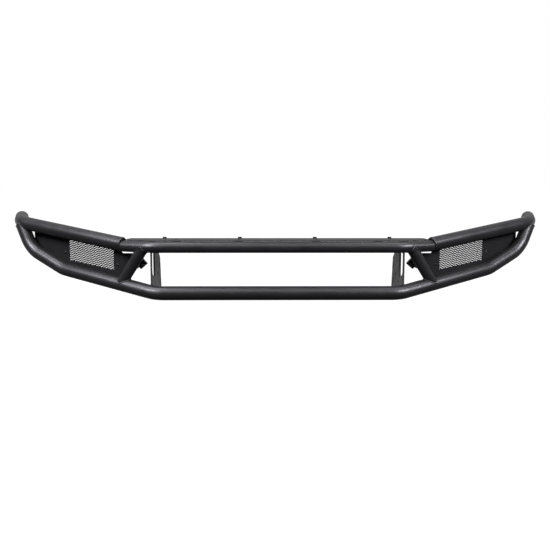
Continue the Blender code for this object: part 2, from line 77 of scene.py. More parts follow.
BRACKET_THICK = 0.006           # frame brackets: (back, up) from the lower tube's axis
BRACKET_OUTLINE = [(0, 0), (-0.004, 0.01), (-0.004, 0.165), (0, 0.180), (0.09, 0.180), (0.215, 0.11),
                   (0.238, 0), (0.238, -0.0254), (0.03, -0.0254)]
BRACKET_WINDOW = [(0.0065, 0.150), (0.0065, 0.078), (0.012, 0.066), (0.055, 0.050), (0.068, 0.054),
                  (0.068, 0.150)]
FRAME_SLOTS = [(0.200, 0.078), (0.200, 0.018)]
FRAME_SLOT_RADIUS = 0.008
FRAME_SLOT_LENGTH = 0.026
BRACKET_HOLES = [(0.155, 0.052, 0.006), (0.087, 0.030, 0.005)]

VALANCE_HALF = [(0.45, -0.001), (0.480, 0.013), (0.545, 0.0465), (0.549, 0.060), (0.542, 0.120)]
BOLT_SHANK = 0.004
SCREW_SHANK = 0.003
HOLE_PLAY = 0.0005              # holes are this much larger in radius than their shank

PANEL_BACK = 0.030              # the wing panels' middle surface behind the plane of the tube axes
PANEL_THICK = 0.0025
SCREEN_THICK = 0.0015
SCREEN = [(0.579, 0.057), (0.775, 0.0885), (0.817, 0.107), (0.817, 0.192), (0.579, 0.157)]
MESH_LONG = 0.040               # long and short way of one diamond
MESH_SHORT = 0.0084
STRAND_WIDTH = 0.0031
STRAND_THICK = 0.0013
STRAND_TILT = math.radians(-10)
BOND_SLOPE = 1.9                # above 1, strands stay together along their bonds
MESH_LEAN = 0.28                # sideways step of the rows for each unit of height
MESH_RISE = 0.50                # the rows climb towards the middle of the guard
TOUCHING = 0.0003               # clearance between pieces that touch

# ---------------------------------------------------------------- rounding and weld beads
OUTLINE_ROUND = 0.010           # corner radii of the plates
WINDOW_ROUND = 0.006
VALANCE_ROUND = 0.012
TAB_ROUND = 0.005
LONGEST_ROUND = 0.45            # a corner's rounding takes at most this share of an edge
SHARPEST_MITRE = 0.3            # limits how far a sharp corner moves when an outline shrinks
BEVEL = 0.0006                  # softened edges
VALANCE_BEVEL = BEVEL / 3
FOLD_BEVEL = 0.003
PANEL_BEVEL = 0.0004
SAME_CORNER = 1e-5              # in the panels, corners nearer than this are one corner
FLAT_ANGLE = math.radians(1)    # and faces that meet at less than this are one face
FOLD_ANGLE = math.radians(15)
EDGE_ANGLE = math.radians(50)
FOLD_WIDTH = 1.6 * PANEL_THICK  # narrower faces are the sheet's edges, not its faces

BEAD_RADIUS = 0.0025
END_BEAD_RADIUS = 0.45 * BEAD_RADIUS
SEAM_BEAD_RADIUS = 1.5 * BEAD_RADIUS
SEAM_BEAD_OFFSET = 0.0012       # outwards from the centre tube's surface
BRACKET_BEAD_RADIUS = 0.8 * BEAD_RADIUS
BRACKET_BEAD_SHARE = 0.94       # of the tube's rear half
RIPPLE_PITCH = 0.0045
RIPPLE_DEPTH = 0.16

# ---------------------------------------------------------------- how finely it is modelled
TUBE_SIDES = 72
BEND_STEPS = 18
BEAD_SIDES = 10
BEAD_SPACING = 0.0009
BRACKET_BEAD_STEPS = 30         # on each side of the bead's middle
SEARCH_STEPS = 18
CAP_STEPS = 8
CORNER_STEPS = 6
HOLE_SIDES = 36
SLOT_STEPS = 14
STRAND_SAMPLES = 32             # along one diamond
HEAD_SIDES = 48
BUTTON_STEPS = 6
HEX = 6
INSIDE_OUTLINE = 1              # delaunay_2d_cdt: keep the triangles inside the outline
SAME_POINT = 1e-7

# ---------------------------------------------------------------- places taken from the frame
LOWER_TUBE_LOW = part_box("lower_main_tube")[0]
BRACKET_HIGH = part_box("frame_bracket_right")[1]
DATUM = Vector((0, BRACKET_HIGH.y - max(y for y, z in BRACKET_OUTLINE), LOWER_TUBE_LOW.z + MAIN_RADIUS))
SLOPE = math.tan(SWEEP)
WING_DIRECTION = Vector((TIP[0] - SEAM[0], (TIP[0] - SEAM[0]) * SLOPE, TIP[1] - SEAM[1])).normalized()
WING_REARWARD = Vector((-math.sin(SWEEP), math.cos(SWEEP), 0))
UP = Vector((0, 0, 1))
SIDES = ((-1, "left"), (1, "right"))


def on_wing(x, z, back=0.0):
    """A point on the upright plane through the right wing's tube axes, or that far behind it."""
    return DATUM + Vector((x, (x - BEND_X) * SLOPE + back / math.cos(SWEEP), z))


def mirrored(points, side):
    return [Vector((side * p[0], p[1], p[2])) for p in points]


# ---------------------------------------------------------------- materials
GLOSS_SPREAD = 0.045            # roughness varies this much either way


def noise_node(tree, position, scale, detail, roughness=0.5):
    node = tree.nodes.new("ShaderNodeTexNoise")
    node.inputs["Scale"].default_value = scale
    node.inputs["Detail"].default_value = detail
    node.inputs["Roughness"].default_value = roughness
    tree.links.new(position, node.inputs["Vector"])
    return node.outputs["Fac"]


def mapped(tree, value, from_low, from_high, to_low=0.0, to_high=1.0):
    """The value, taken from one range to another."""
    node = tree.nodes.new("ShaderNodeMapRange")
    node.inputs["From Min"].default_value = from_low
    node.inputs["From Max"].default_value = from_high
    node.inputs["To Min"].default_value = to_low
    node.inputs["To Max"].default_value = to_high
    tree.links.new(value, node.inputs["Value"])
    return node.outputs["Result"]


def spread_noise(tree, value, low, high):
    """Noise, which mostly lies between 0.3 and 0.7, spread over low to high."""
    return mapped(tree, value, 0.3, 0.7, low, high)


def bump_node(tree, height, strength, distance, below=None):
    """The surface direction with a bump, on top of the bump below it if there is one."""
    node = tree.nodes.new("ShaderNodeBump")
    node.inputs["Strength"].default_value = strength
    node.inputs["Distance"].default_value = distance
    tree.links.new(height, node.inputs["Height"])
    if below is not None:
        tree.links.new(below, node.inputs["Normal"])
    return node.outputs["Normal"]


def coated_metal(name, dark, light, roughness, specular, metallic, grain, grain_depth):
    """Black finish: cloudy tone, uneven gloss, orange peel and a fine grain of the given scale."""
    material = bpy.data.materials.new("fine_" + name)
    material["slot"] = name
    material.use_nodes = True
    tree = material.node_tree
    shader = tree.nodes["Principled BSDF"]
    place = tree.nodes.new("ShaderNodeTexCoord").outputs["Object"]
    clouds = noise_node(tree, place, scale=9, detail=5)
    specks = noise_node(tree, place, scale=grain * 0.6, detail=2)
    blend = tree.nodes.new("ShaderNodeMath")
    blend.operation = "MULTIPLY"
    tree.links.new(spread_noise(tree, clouds, 0.3, 1.0), blend.inputs[0])
    tree.links.new(spread_noise(tree, specks, 0.35, 1.0), blend.inputs[1])
    tone = tree.nodes.new("ShaderNodeMix")
    tone.data_type = "RGBA"
    tone.inputs["A"].default_value = (*dark, 1)
    tone.inputs["B"].default_value = (*light, 1)
    tree.links.new(blend.outputs[0], tone.inputs["Factor"])
    tree.links.new(tone.outputs["Result"], shader.inputs["Base Color"])
    gloss = noise_node(tree, place, scale=28, detail=6)
    uneven = spread_noise(tree, gloss, roughness - GLOSS_SPREAD, roughness + GLOSS_SPREAD)
    tree.links.new(uneven, shader.inputs["Roughness"])
    waves = noise_node(tree, place, scale=grain * 0.22, detail=2)
    peel = bump_node(tree, waves, strength=0.20, distance=0.0006)
    grains = noise_node(tree, place, scale=grain, detail=3, roughness=0.6)
    textured = bump_node(tree, grains, strength=grain_depth, distance=0.0003, below=peel)
    tree.links.new(textured, shader.inputs["Normal"])
    shader.inputs["Metallic"].default_value = metallic
    shader.inputs["Specular IOR Level"].default_value = specular
    return material


TUBE_BLACK = coated_metal("tube_powder_coat", dark=(0.006, 0.0060, 0.0066), light=(0.014, 0.0140, 0.0151),
                          roughness=0.38, specular=0.5, metallic=0.0, grain=900, grain_depth=0.5)
PLATE_BLACK = coated_metal("plate_powder_coat", dark=(0.006, 0.006, 0.0066), light=(0.014, 0.014, 0.0152),
                           roughness=0.64, specular=0.5, metallic=0.0, grain=1000, grain_depth=0.45)
PANEL_BLACK = coated_metal("panel_powder_coat", dark=(0.004, 0.004, 0.0046), light=(0.009, 0.009, 0.0100),
                           roughness=0.60, specular=0.2, metallic=0.0, grain=950, grain_depth=0.5)
MESH_BLACK = coated_metal("mesh_powder_coat", dark=(0.004, 0.004, 0.0044), light=(0.008, 0.008, 0.0086),
                          roughness=0.52, specular=0.3, metallic=0.0, grain=1100, grain_depth=0.4)
ZINC_BLACK = coated_metal("black_zinc", dark=(0.020, 0.020, 0.020), light=(0.050, 0.049, 0.046),
                          roughness=0.34, specular=0.5, metallic=0.7, grain=1500, grain_depth=0.25)


# ---------------------------------------------------------------- making pieces
def add_piece(name, bm, material, *nodes, weighted=False, sharp=35):
    """Turns a bmesh into a visible piece that stands for the CAD nodes."""
    mesh = bpy.data.meshes.new(name)
    bmesh.ops.recalc_face_normals(bm, faces=bm.faces)
    bm.to_mesh(mesh)
    bm.free()
    mesh.materials.append(material)
    mesh.shade_smooth()
    mesh.set_sharp_from_angle(angle=math.radians(sharp))
    obj = bpy.data.objects.new(name, mesh)
    bpy.context.scene.collection.objects.link(obj)
    if weighted:
        normals = obj.modifiers.new("even_normals", "WEIGHTED_NORMAL")
        normals.keep_sharp = True
    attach(obj, "root")
    if nodes:
        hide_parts(*nodes)
    return obj


def join_rings(bm, first, second):
    for i in range(len(first)):
        j = (i + 1) % len(first)
        bm.faces.new((first[i], first[j], second[j], second[i]))


# ---------------------------------------------------------------- tubes
def bent_path(corners, radii):
    """Straight runs through the corners, with an arc of the given radius at each inner corner."""
    path = [corners[0]]
    for i, radius in enumerate(radii, start=1):
        before = (corners[i] - corners[i - 1]).normalized()
        after = (corners[i + 1] - corners[i]).normalized()
        angle = before.angle(after)
        start = corners[i] - before * radius * math.tan(angle / 2)
        inward = (after - before * before.dot(after)).normalized()
        centre = start + inward * radius
        for step in range(BEND_STEPS + 1):
            turn = angle * step / BEND_STEPS
            path.append(centre - inward * radius * math.cos(turn) + before * radius * math.sin(turn))
    path.append(corners[-1])
    return path


def tangents_of(path):
    runs = [(b - a).normalized() for a, b in zip(path, path[1:])]
    inner = [(a + b).normalized() for a, b in zip(runs, runs[1:])]
    return [runs[0]] + inner + [runs[-1]]


def around(tangent, turn):
    """The unit direction at that turn round the tangent, the same way on every ring of a tube."""
    side = tangent.cross(UP).normalized()
    return side * math.cos(turn) + side.cross(tangent) * math.sin(turn)


def turns(count):
    return [2 * math.pi * i / count for i in range(count)]


def tube(path, radius, first_ring=None, last_ring=None):
    """A closed tube along the path. A given first or last ring is where a coped end meets a tube."""
    bm = bmesh.new()
    rings = [[centre + around(tangent, turn) * radius for turn in turns(TUBE_SIDES)]
             for centre, tangent in zip(path, tangents_of(path))]
    if first_ring:
        rings[0] = first_ring
    if last_ring:
        rings[-1] = last_ring
    made = [[bm.verts.new(point) for point in points] for points in rings]
    for first, second in zip(made, made[1:]):
        join_rings(bm, first, second)
    bm.faces.new(made[0])
    bm.faces.new(made[-1])
    return bm


def distance_to(point, path):
    best = math.inf
    for start, end in zip(path, path[1:]):
        run = end - start
        share = max(0.0, min(1.0, (point - start).dot(run) / run.length_squared))
        best = min(best, (point - start - run * share).length)
    return best


def way_out(start, direction, reach, path, radius):
    """Where a line that starts inside a tube leaves it, found by halving."""
    inside, outside = 0.0, reach
    for _ in range(SEARCH_STEPS):
        middle = (inside + outside) / 2
        if distance_to(start + direction * middle, path) < radius:
            inside = middle
        else:
            outside = middle
    return start + direction * outside


def coped_ring(centre, tangent, radius, other_path, other_radius):
    """Where a straight tube's surface, going back along -tangent from the centre, leaves another's."""
    starts = [centre + around(tangent, turn) * radius for turn in turns(TUBE_SIDES)]
    return [way_out(start, -tangent, 4 * other_radius, other_path, other_radius) for start in starts]


def weld_bead(name, points, radius=BEAD_RADIUS, start=0.0, closed=True):
    """A rippled bead along the points. Start shifts its ripples."""
    bm = bmesh.new()
    count = len(points)
    rings = []
    travelled = start
    for i, point in enumerate(points):
        before = points[i - 1] if closed or i else point
        after = points[(i + 1) % count] if closed or i < count - 1 else point
        tangent = (after - before).normalized()
        travelled += (point - before).length
        swell = 1 + RIPPLE_DEPTH * abs(math.sin(math.pi * travelled / RIPPLE_PITCH))
        across = tangent.orthogonal().normalized()
        over = tangent.cross(across)
        outward = [across * math.cos(turn) + over * math.sin(turn) for turn in turns(BEAD_SIDES)]
        rings.append([bm.verts.new(point + direction * radius * swell) for direction in outward])
    for first, second in zip(rings, rings[1:]):
        bridge(bm, first, second)
    if closed:
        bridge(bm, rings[-1], rings[0])
    else:
        bm.faces.new(rings[0])
        bm.faces.new(rings[-1])
    add_piece(name, bm, TUBE_BLACK, sharp=80)


def bridge(bm, first, second):
    """Joins two rings whose starts may not line up."""
    shift = min(range(len(second)), key=lambda k: (second[k].co - first[0].co).length)
    turned_second = second[shift:] + second[:shift]
    opposite = [turned_second[0]] + turned_second[:0:-1]
    straight = (turned_second[1].co - first[1].co).length
    reverse = (opposite[1].co - first[1].co).length
    join_rings(bm, first, turned_second if straight <= reverse else opposite)


def finer(points):
    """The same closed round of points, with points close enough for the ripples."""
    result = []
    for a, b in zip(points, points[1:] + points[:1]):
        steps = max(1, round((b - a).length / BEAD_SPACING))
        result += [a.lerp(b, k / steps) for k in range(steps)]
    return result


def seen_from_other_end(ring):
    """The ring in the order that a tube coming the other way gives it."""
    backwards = [ring[0]] + ring[:0:-1]
    half = TUBE_SIDES // 2
    return backwards[half:] + backwards[:half]


def build_tubes():
    lower_right = [DATUM + Vector((LOWER_BEND_X, 0, 0))]
    lower_right += [on_wing(*place) for place in (KNEE_1, KNEE_2, LOWER_END)]
    seam = on_wing(*SEAM)
    tip = on_wing(*TIP)
    rise = WING_DIRECTION.z / math.hypot(WING_DIRECTION.x, WING_DIRECTION.y)
    drop = SEAM[1] - TOP_TUBE_Z
    centre_end_x = SEAM[0] - (JOINT_PLATE / 2) * WING_DIRECTION.x + drop * rise * math.cos(SWEEP)
    centre_right = [on_wing(BEND_X, TOP_TUBE_Z), on_wing(centre_end_x, TOP_TUBE_Z)]
    wing_right = bent_path([seam + WING_DIRECTION * (JOINT_PLATE / 2 + TOUCHING), tip, tip + TIP_RETURN],
                           [TIP_BEND_RADIUS])
    lower_path = bent_path(mirrored(reversed(lower_right), -1) + lower_right, [BEND_RADIUS] * 6)
    centre_path = bent_path(mirrored(reversed(centre_right), -1) + centre_right, [BEND_RADIUS] * 2)

    ends = []
    for side, word in SIDES:
        wing_path = mirrored(wing_right, side)
        add_piece("fine_wing_tube_" + word, tube(wing_path, MAIN_RADIUS), TUBE_BLACK, "wing_tube_" + word)
        end, before = mirrored([lower_right[-1], lower_right[-2]], side)
        outward = (end - before).normalized()
        cope = coped_ring(end, outward, MAIN_RADIUS, wing_path, MAIN_RADIUS)
        weld_bead("weld_lower_tube_" + word, finer(cope), END_BEAD_RADIUS)
        ends.append(cope)
        build_joint(side, word, seam)
        build_cap(side, word, tip + TIP_RETURN)
    lower_tube = tube(lower_path, MAIN_RADIUS, seen_from_other_end(ends[0]), ends[1])
    add_piece("fine_lower_tube", lower_tube, TUBE_BLACK, "lower_main_tube")
    add_piece("fine_top_centre_tube", tube(centre_path, SECOND_RADIUS), TUBE_BLACK, "top_centre_tube")

    foot_z = (BRACE_FOOT_X - LOWER_BEND_X) / (KNEE_1[0] - LOWER_BEND_X) * KNEE_1[1]
    for side, word in SIDES:
        top, foot = mirrored([on_wing(BRACE_TOP_X, TOP_TUBE_Z), on_wing(BRACE_FOOT_X, foot_z)], side)
        down = (foot - top).normalized()
        upper = coped_ring(top, -down, SECOND_RADIUS, centre_path, SECOND_RADIUS)
        lower = coped_ring(foot, down, SECOND_RADIUS, lower_path, MAIN_RADIUS)
        brace = tube([top, foot], SECOND_RADIUS, seen_from_other_end(upper), lower)
        add_piece("fine_brace_" + word, brace, TUBE_BLACK, "diagonal_brace_" + word)
        weld_bead("weld_brace_top_" + word, finer(upper), start=0.001)
        weld_bead("weld_brace_foot_" + word, finer(lower), start=0.002)
    return lower_path, centre_path


def spun(profile, matrix):
    """Spins (radius, height) pairs about the matrix's Z axis; the first and last lie on the axis."""
    bm = bmesh.new()
    bottom = bm.verts.new(matrix @ Vector((0, 0, profile[0][1])))
    top = bm.verts.new(matrix @ Vector((0, 0, profile[-1][1])))
    rings = []
    for radius, height in profile[1:-1]:
        rings.append([bm.verts.new(point) for point in circle_at(matrix, radius, height)])
    for first, second in zip(rings, rings[1:]):
        join_rings(bm, first, second)
    for i in range(TUBE_SIDES):
        j = (i + 1) % TUBE_SIDES
        bm.faces.new((bottom, rings[0][i], rings[0][j]))
        bm.faces.new((top, rings[-1][i], rings[-1][j]))
    return bm


def facing(place, direction):
    """A frame at the place whose Z axis points along the direction."""
    return Matrix.Translation(place) @ direction.to_track_quat("Z", "Y").to_matrix().to_4x4()


def circle_at(matrix, radius, height):
    return [matrix @ Vector((radius * math.cos(t), radius * math.sin(t), height)) for t in turns(TUBE_SIDES)]


def build_joint(side, word, seam):
    """The disc between wing tube and top centre tube, with a bead on its inboard face."""
    centre = mirrored([seam], side)[0]
    direction = mirrored([WING_DIRECTION], side)[0]
    matrix = facing(centre, direction)
    half = JOINT_PLATE / 2
    edge = MAIN_RADIUS + JOINT_RIM
    profile = [(0, -half), (edge - BEVEL, -half), (edge, -half + BEVEL), (edge, half - BEVEL),
               (edge - BEVEL, half), (0, half)]
    add_piece("fine_joint_plate_" + word, spun(profile, matrix), TUBE_BLACK, "joint_plate_" + word)
    seam_line = circle_at(matrix, SECOND_RADIUS + SEAM_BEAD_OFFSET, -half)
    weld_bead("weld_seam_inboard_" + word, finer(seam_line), SEAM_BEAD_RADIUS, start=0.001)


def build_cap(side, word, end):
    """Domed cap on the open end of the wing tip."""
    centre = mirrored([end], side)[0]
    direction = mirrored([TIP_RETURN.normalized()], side)[0]
    plug = MAIN_RADIUS - CAP_WALL
    profile = [(0, CAP_PLUG), (plug, CAP_PLUG), (plug, CAP_LIP),
               (MAIN_RADIUS - BEVEL, TOUCHING), (MAIN_RADIUS, TOUCHING + BEVEL)]
    for step in range(CAP_STEPS):
        turn = math.pi / 2 * step / CAP_STEPS
        profile.append((MAIN_RADIUS * math.cos(turn), CAP_EDGE + (CAP_RISE - CAP_EDGE) * math.sin(turn)))
    profile.append((0, CAP_RISE))
    cap = spun(profile, facing(centre, direction))
    add_piece("fine_tube_cap_" + word, cap, TUBE_BLACK, "tube_cap_" + word, sharp=50)


# ---------------------------------------------------------------- flat plates
def rounded(outline, radius):
    """The outline with each corner rounded, by less where the edges are short."""
    points = []
    count = len(outline)
    for i in range(count):
        corner = Vector(outline[i])
        back = Vector(outline[i - 1]) - corner
        ahead = Vector(outline[(i + 1) % count]) - corner
        half = back.angle(ahead) / 2
        shorter = min(back.length, ahead.length)
        reach = min(radius / math.tan(half), shorter * LONGEST_ROUND)
        start = corner + back.normalized() * reach
        end = corner + ahead.normalized() * reach
        for step in range(CORNER_STEPS + 1):
            share = step / CORNER_STEPS
            points.append(start.lerp(corner, share).lerp(corner.lerp(end, share), share))
    return points


def ring_of(x, y, radius):
    return [Vector((x + radius * math.cos(t), y + radius * math.sin(t))) for t in turns(HOLE_SIDES)]


def upright_slot(x, y, radius, length):
    reach = length / 2 - radius
    points = []
    for start, middle in ((0, y + reach), (math.pi, y - reach)):
        for i in range(SLOT_STEPS + 1):
            turn = start + math.pi * i / SLOT_STEPS
            points.append(Vector((x + radius * math.cos(turn), middle + radius * math.sin(turn))))
    return points


def shrunk(loop, amount):
    """The loop moved inwards by the amount, or outwards where it is negative."""
    count = len(loop)
    area = sum(loop[i - 1].x * loop[i].y - loop[i].x * loop[i - 1].y for i in range(count))
    sense = 1 if area > 0 else -1
    moved = []
    for i in range(count):
        first = (loop[i] - loop[i - 1]).normalized()
        second = (loop[(i + 1) % count] - loop[i]).normalized()
        normals = [Vector((-d.y, d.x)) * sense for d in (first, second)]
        share = max(SHARPEST_MITRE, 1 + normals[0].dot(normals[1]))
        moved.append(loop[i] + (normals[0] + normals[1]) * amount / share)
    return moved


def flat_faces(bm, loops, place):
    """Fills the first loop, leaves the others open and returns the rounds of vertices it made."""
    rounds = [[bm.verts.new(place(point)) for point in loop] for loop in loops]
    verts = [v for loop in rounds for v in loop]
    edges = []
    owners = []
    for number, loop in enumerate(loops):
        first = len(edges)
        edges += [(first + i, first + (i + 1) % len(loop)) for i in range(len(loop))]
        owners += [number] * len(loop)
    filled = delaunay_2d_cdt([p for loop in loops for p in loop], edges, [], INSIDE_OUTLINE, SAME_POINT)
    for triangle in filled[2]:
        corners = [filled[3][i][0] for i in triangle]
        touched = {owners[c] for c in corners}
        in_a_hole = len(touched) == 1 and 0 not in touched
        if not in_a_hole:
            bm.faces.new([verts[c] for c in corners])
    return rounds


def plate(outline, holes, thick, place, ease=BEVEL):
    """A plate with softened edges: place(point, depth) gives a point that far into its thickness."""
    bm = bmesh.new()
    loops = [outline] + holes
    eased = [shrunk(outline, ease)] + [shrunk(hole, -ease) for hole in holes]
    near = flat_faces(bm, eased, lambda point: place(point, 0))
    far = flat_faces(bm, eased, lambda point: place(point, thick))
    for number, loop in enumerate(loops):
        layers = [near[number]]
        for depth in (ease, thick - ease):
            layers.append([bm.verts.new(place(point, depth)) for point in loop])
        layers.append(far[number])
        for first, second in zip(layers, layers[1:]):
            join_rings(bm, first, second)
    return bm


def build_brackets(lower_path, centre_path):
    outline = rounded(BRACKET_OUTLINE, OUTLINE_ROUND)
    holes = [rounded(BRACKET_WINDOW, WINDOW_ROUND)]
    holes += [upright_slot(y, z, FRAME_SLOT_RADIUS, FRAME_SLOT_LENGTH) for y, z in FRAME_SLOTS]
    holes += [ring_of(*hole) for hole in BRACKET_HOLES]
    tubes = ((lower_path, MAIN_RADIUS, "lower"), (centre_path, SECOND_RADIUS, "top"))
    for side, word in SIDES:
        def place(point, depth):
            x = side * (BEND_X - BRACKET_THICK / 2 + depth)
            return DATUM + Vector((x, point.x, point.y))

        add_piece("fine_frame_bracket_" + word, plate(outline, holes, BRACKET_THICK, place), PLATE_BLACK,
                  "frame_bracket_" + word, weighted=True)
        for face, label in ((-1, "inboard"), (1, "outboard")):
            x = side * (BEND_X + face * BRACKET_THICK / 2)
            for path, radius, tube_word in tubes:
                line = rear_line(path, radius, x)
                name = f"weld_bracket_{tube_word}_{label}_{word}"
                weld_bead(name, line, BRACKET_BEAD_RADIUS, closed=False)


def rear_line(path, radius, x):
    """Behind a tube, the line where its surface crosses the upright plane at x."""
    axis = axis_at(path, x)
    points = []
    for i in range(-BRACKET_BEAD_STEPS, BRACKET_BEAD_STEPS + 1):
        turn = math.pi / 2 * BRACKET_BEAD_SHARE * i / BRACKET_BEAD_STEPS
        points.append(way_out(axis, Vector((0, math.cos(turn), math.sin(turn))), 2 * radius, path, radius))
    return points


def axis_at(path, x):
    for start, end in zip(path, path[1:]):
        if start.x <= x <= end.x:
            return start.lerp(end, (x - start.x) / (end.x - start.x))
    raise ValueError("the tube doesn't reach that place")


def centre_of(node):
    low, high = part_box(node)
    return (low + high) / 2


def shank_hole(node, shank_radius):
    centre = centre_of(node)
    return ring_of(centre.x, centre.y, shank_radius + HOLE_PLAY)


def lying_at(z):
    """Places for a plate that lies flat, upwards from that height."""
    return lambda point, depth: Vector((point.x, point.y, z + depth))


def build_valance():
    low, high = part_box("valance_plate")
    half = [Vector((x, y)) for x, y in VALANCE_HALF]
    corners = half + [Vector((-p.x, p.y)) for p in reversed(half)]
    outline = [Vector((p.x, p.y + DATUM.y)) for p in rounded(corners, VALANCE_ROUND)]
    bolts = [f"valance_bolt_{i}" for i in range(1, 5)]
    screws = [f"valance_screw_{i}" for i in range(1, 5)]
    holes = [shank_hole(node, BOLT_SHANK) for node in bolts]
    holes += [shank_hole(node, SCREW_SHANK) for node in screws]
    bm = plate(outline, holes, high.z - low.z, lying_at(low.z), VALANCE_BEVEL)
    add_piece("fine_valance_plate", bm, PLATE_BLACK, "valance_plate", weighted=True)
    for i, screw in enumerate(screws, start=1):
        node = f"valance_tab_{i}"
        low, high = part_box(node)
        corners = [(low.x, low.y), (high.x, low.y), (high.x, high.y), (low.x, high.y)]
        hole = shank_hole(screw, SCREW_SHANK)
        bm = plate(rounded(corners, TAB_ROUND), [hole], high.z - low.z, lying_at(low.z))
        add_piece("fine_" + node, bm, PLATE_BLACK, node, weighted=True)
        add_fastener(screw, UP, button_head)
        add_fastener(f"valance_screw_nut_{i}", -UP, hex_nut)
    for i, bolt in enumerate(bolts, start=1):
        add_fastener(bolt, UP, hex_bolt)
        add_fastener(f"valance_bolt_nut_{i}", -UP, hex_nut)


# ---------------------------------------------------------------- fasteners
ON_AXIS = 0.001                 # nearer the axis than this, a point is in the middle of an end
HEAD_OVER_SHANK = 1.2
THREAD_ROOT = 0.86              # shares of the shank's radius
THREAD_PITCH = 0.3
CHAMFER_START = 0.95            # shares of half the width across flats
CHAMFER_ANGLE = math.radians(30)
BOLT_FACE = 0.98
BOLT_FACE_THICK = 0.0005
NUT_FACE = 0.97
NUT_FACE_THICK = 0.0003
HEX_TOP = 0.36                  # of the width across flats
BUTTON_EDGE = 0.18              # of the head's height
BUTTON_TURN = math.radians(58)  # arc of the head's dome
SOCKET_FLATS = 0.66             # of the head's radius
SOCKET_DEPTH = 0.75             # of the head's height
SOCKET_TAPER = 0.97
NUT_BORE = 0.97                 # of the CAD bore
NUT_CHAMFER = 0.12


def spread(node, axis):
    """A CAD fastener's measures about its axis: the point on the axis, its (distance, height) pairs."""
    places = {tuple(round(c, 6) for c in v.co): v.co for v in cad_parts[node].data.vertices}
    points = list(places.values())
    middle = sum(points, Vector()) / len(points)
    pairs = []
    for point in points:
        height = (point - middle).dot(axis)
        pairs.append(((point - middle - axis * height).length, height))
    return middle, pairs


def hexagon(across_flats, turn):
    """How far a hexagon's edge is from its middle at that turn, with a flat in the middle of each sixth."""
    sixth = 2 * math.pi / HEX
    return across_flats / 2 / math.cos(turn % sixth - sixth / 2)


def turned(rings, matrix, bored=False):
    """A shape whose rings are (radius, height) functions of the turn, closed or bored right through."""
    bm = bmesh.new()
    rounds = []
    for radius_at, height_at in rings:
        points = [Vector((radius_at(t) * math.cos(t), radius_at(t) * math.sin(t), height_at(t)))
                  for t in turns(HEAD_SIDES)]
        rounds.append([bm.verts.new(matrix @ point) for point in points])
    for first, second in zip(rounds, rounds[1:]):
        join_rings(bm, first, second)
    if bored:
        join_rings(bm, rounds[-1], rounds[0])
    else:
        bm.faces.new(rounds[0])
        bm.faces.new(rounds[-1])
    return bm


def plain(radius, height):
    return (lambda t: radius, lambda t: height)


def chamfered_hex(across_flats, base, top):
    """The outside of a hexagon head whose corners are turned off."""
    start = across_flats / 2 * CHAMFER_START

    def edge(turn):
        return top - max(0.0, hexagon(across_flats, turn) - start) * math.tan(CHAMFER_ANGLE)

    return [(lambda t: hexagon(across_flats, t), lambda t: base), (lambda t: hexagon(across_flats, t), edge),
            (lambda t: start, lambda t: top)]


def threaded(radius, start, end):
    """Rings of a threaded shank from start to end."""
    root = radius * THREAD_ROOT
    steps = max(2, round(abs(end - start) / (radius * THREAD_PITCH / 2)))
    rings = []
    for i in range(steps + 1):
        crest = i % 2 == 0 and 0 < i < steps
        rings.append(plain(radius if crest else root, start + (end - start) * i / steps))
    return rings


def shank_and_head(pairs):
    """A bolt's shank and head radius, and the heights of its tail, its head's underside and its top."""
    shank = min(d for d, h in pairs if d > ON_AXIS)
    head = max(d for d, h in pairs)
    tail = min(h for d, h in pairs)
    base = min(h for d, h in pairs if d > shank * HEAD_OVER_SHANK)
    top = max(h for d, h in pairs)
    return shank, head, tail, base, top


def hex_bolt(pairs, matrix):
    shank, corner, tail, base, top = shank_and_head(pairs)
    flats = corner * math.sqrt(3)
    face = flats / 2 * BOLT_FACE
    rings = threaded(shank, tail, base) + [plain(face, base), plain(face, base + BOLT_FACE_THICK)]
    rings += chamfered_hex(flats, base + BOLT_FACE_THICK, top) + [plain(flats * HEX_TOP, top)]
    return turned(rings, matrix)


def button_head(pairs, matrix):
    shank, rim, tail, base, top = shank_and_head(pairs)
    height = top - base
    rings = threaded(shank, tail, base) + [plain(rim, base), plain(rim, base + height * BUTTON_EDGE)]
    for i in range(1, BUTTON_STEPS + 1):
        turn = BUTTON_TURN * i / BUTTON_STEPS
        rise = BUTTON_EDGE + (1 - BUTTON_EDGE) * math.sin(turn) / math.sin(BUTTON_TURN)
        rings.append(plain(rim * math.cos(turn), base + height * rise))
    socket = rim * SOCKET_FLATS
    floor = top - height * SOCKET_DEPTH
    rings.append((lambda t: hexagon(socket, t), lambda t: top))
    rings.append((lambda t: hexagon(socket, t) * SOCKET_TAPER, lambda t: floor))
    return turned(rings, matrix)


def hex_nut(pairs, matrix):
    bore = min(d for d, h in pairs) * NUT_BORE
    corner = max(d for d, h in pairs)
    low = min(h for d, h in pairs)
    top = max(h for d, h in pairs)
    flats = corner * math.sqrt(3)
    rings = [plain(bore, low), plain(flats / 2 * NUT_FACE, low)]
    rings += chamfered_hex(flats, low + NUT_FACE_THICK, top)
    rings += [plain(bore * (1 + NUT_CHAMFER), top), plain(bore, top - bore * NUT_CHAMFER)]
    return turned(rings, matrix, bored=True)


def flat_washer(pairs, matrix):
    bore = min(d for d, h in pairs)
    outer = max(d for d, h in pairs)
    low = min(h for d, h in pairs)
    top = max(h for d, h in pairs)
    ease = BEVEL / 2
    rings = [plain(bore, low), plain(outer - ease, low), plain(outer, low + ease), plain(outer, top - ease),
             plain(outer - ease, top), plain(bore, top)]
    return turned(rings, matrix, bored=True)


def add_fastener(node, axis, shape):
    middle, pairs = spread(node, axis)
    add_piece("fine_" + node, shape(pairs, facing(middle, axis)), ZINC_BLACK, node, sharp=28)


